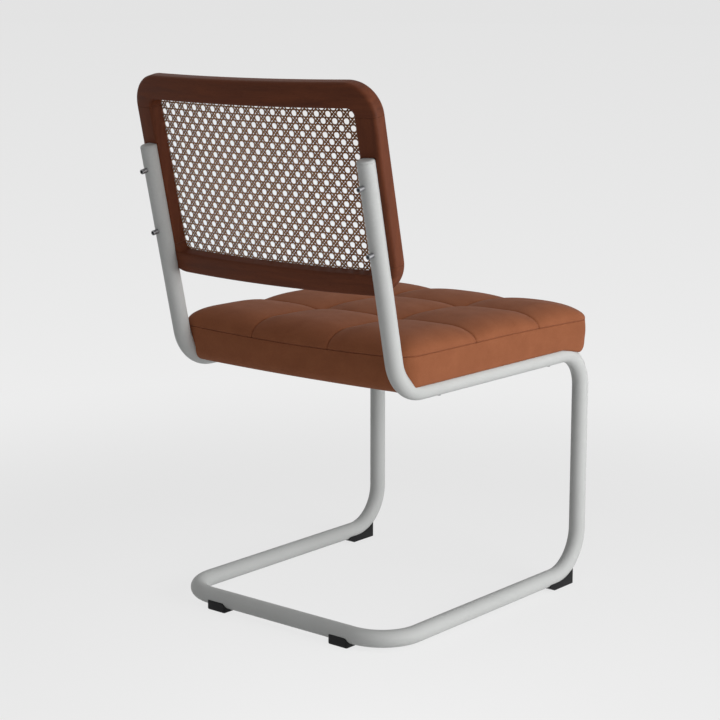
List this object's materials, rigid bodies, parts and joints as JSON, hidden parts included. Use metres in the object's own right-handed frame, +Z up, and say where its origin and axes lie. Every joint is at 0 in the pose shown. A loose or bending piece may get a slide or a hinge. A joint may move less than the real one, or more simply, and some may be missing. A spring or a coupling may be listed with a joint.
{
  "type": "side chair",
  "caption": "Armless dining chair on one continuous bent tube frame, with a caned wooden back and a channel-stitched upholstered seat.",
  "frame": {"origin": "on the floor, below the middle of the chair's overall width and depth", "axes": "+Z up; the chair faces -Y; +X is the sitter's left, across the chair"},
  "size_m": [0.443, 0.5689, 0.7933],
  "materials": {
    "painted_tube": "pale grey satin powder coat",
    "stained_wood": "dark reddish-brown stain under satin lacquer",
    "beech": "unfinished hardwood",
    "cane": "stained woven cane",
    "dark_steel": "blackened steel",
    "brass": "plain turned brass",
    "suede": "rust-brown short-napped cloth",
    "foam": "open-cell upholstery foam",
    "plywood": "unfinished plywood",
    "dust_cloth": "black non-woven cloth",
    "black_plastic": "moulded black plastic"
  },
  "bodies": {
    "root": {"frame_tube": "painted_tube", "tube_end_plug_left": "painted_tube", "tube_end_plug_right": "painted_tube", "back_top_rail": "stained_wood", "back_bottom_rail": "stained_wood", "back_stile_left": "stained_wood", "back_stile_right": "stained_wood", "back_tenon_top_left": "beech", "back_tenon_top_right": "beech", "back_tenon_bottom_left": "beech", "back_tenon_bottom_right": "beech", "cane_panel": "cane", "cane_spline": "stained_wood", "back_screw_lower_left": "dark_steel", "back_screw_lower_right": "dark_steel", "back_screw_upper_left": "dark_steel", "back_screw_upper_right": "dark_steel", "back_insert_lower_left": "brass", "back_insert_lower_right": "brass", "back_insert_upper_left": "brass", "back_insert_upper_right": "brass", "seat_cover": "suede", "seat_foam": "foam", "seat_board": "plywood", "seat_dust_cover": "dust_cloth", "seat_screw_front_left": "dark_steel", "seat_screw_front_right": "dark_steel", "seat_screw_rear_left": "dark_steel", "seat_screw_rear_right": "dark_steel", "front_glide_left": "black_plastic", "front_glide_right": "black_plastic", "rear_glide_left": "black_plastic", "rear_glide_right": "black_plastic"}
  },
  "joints": []
}
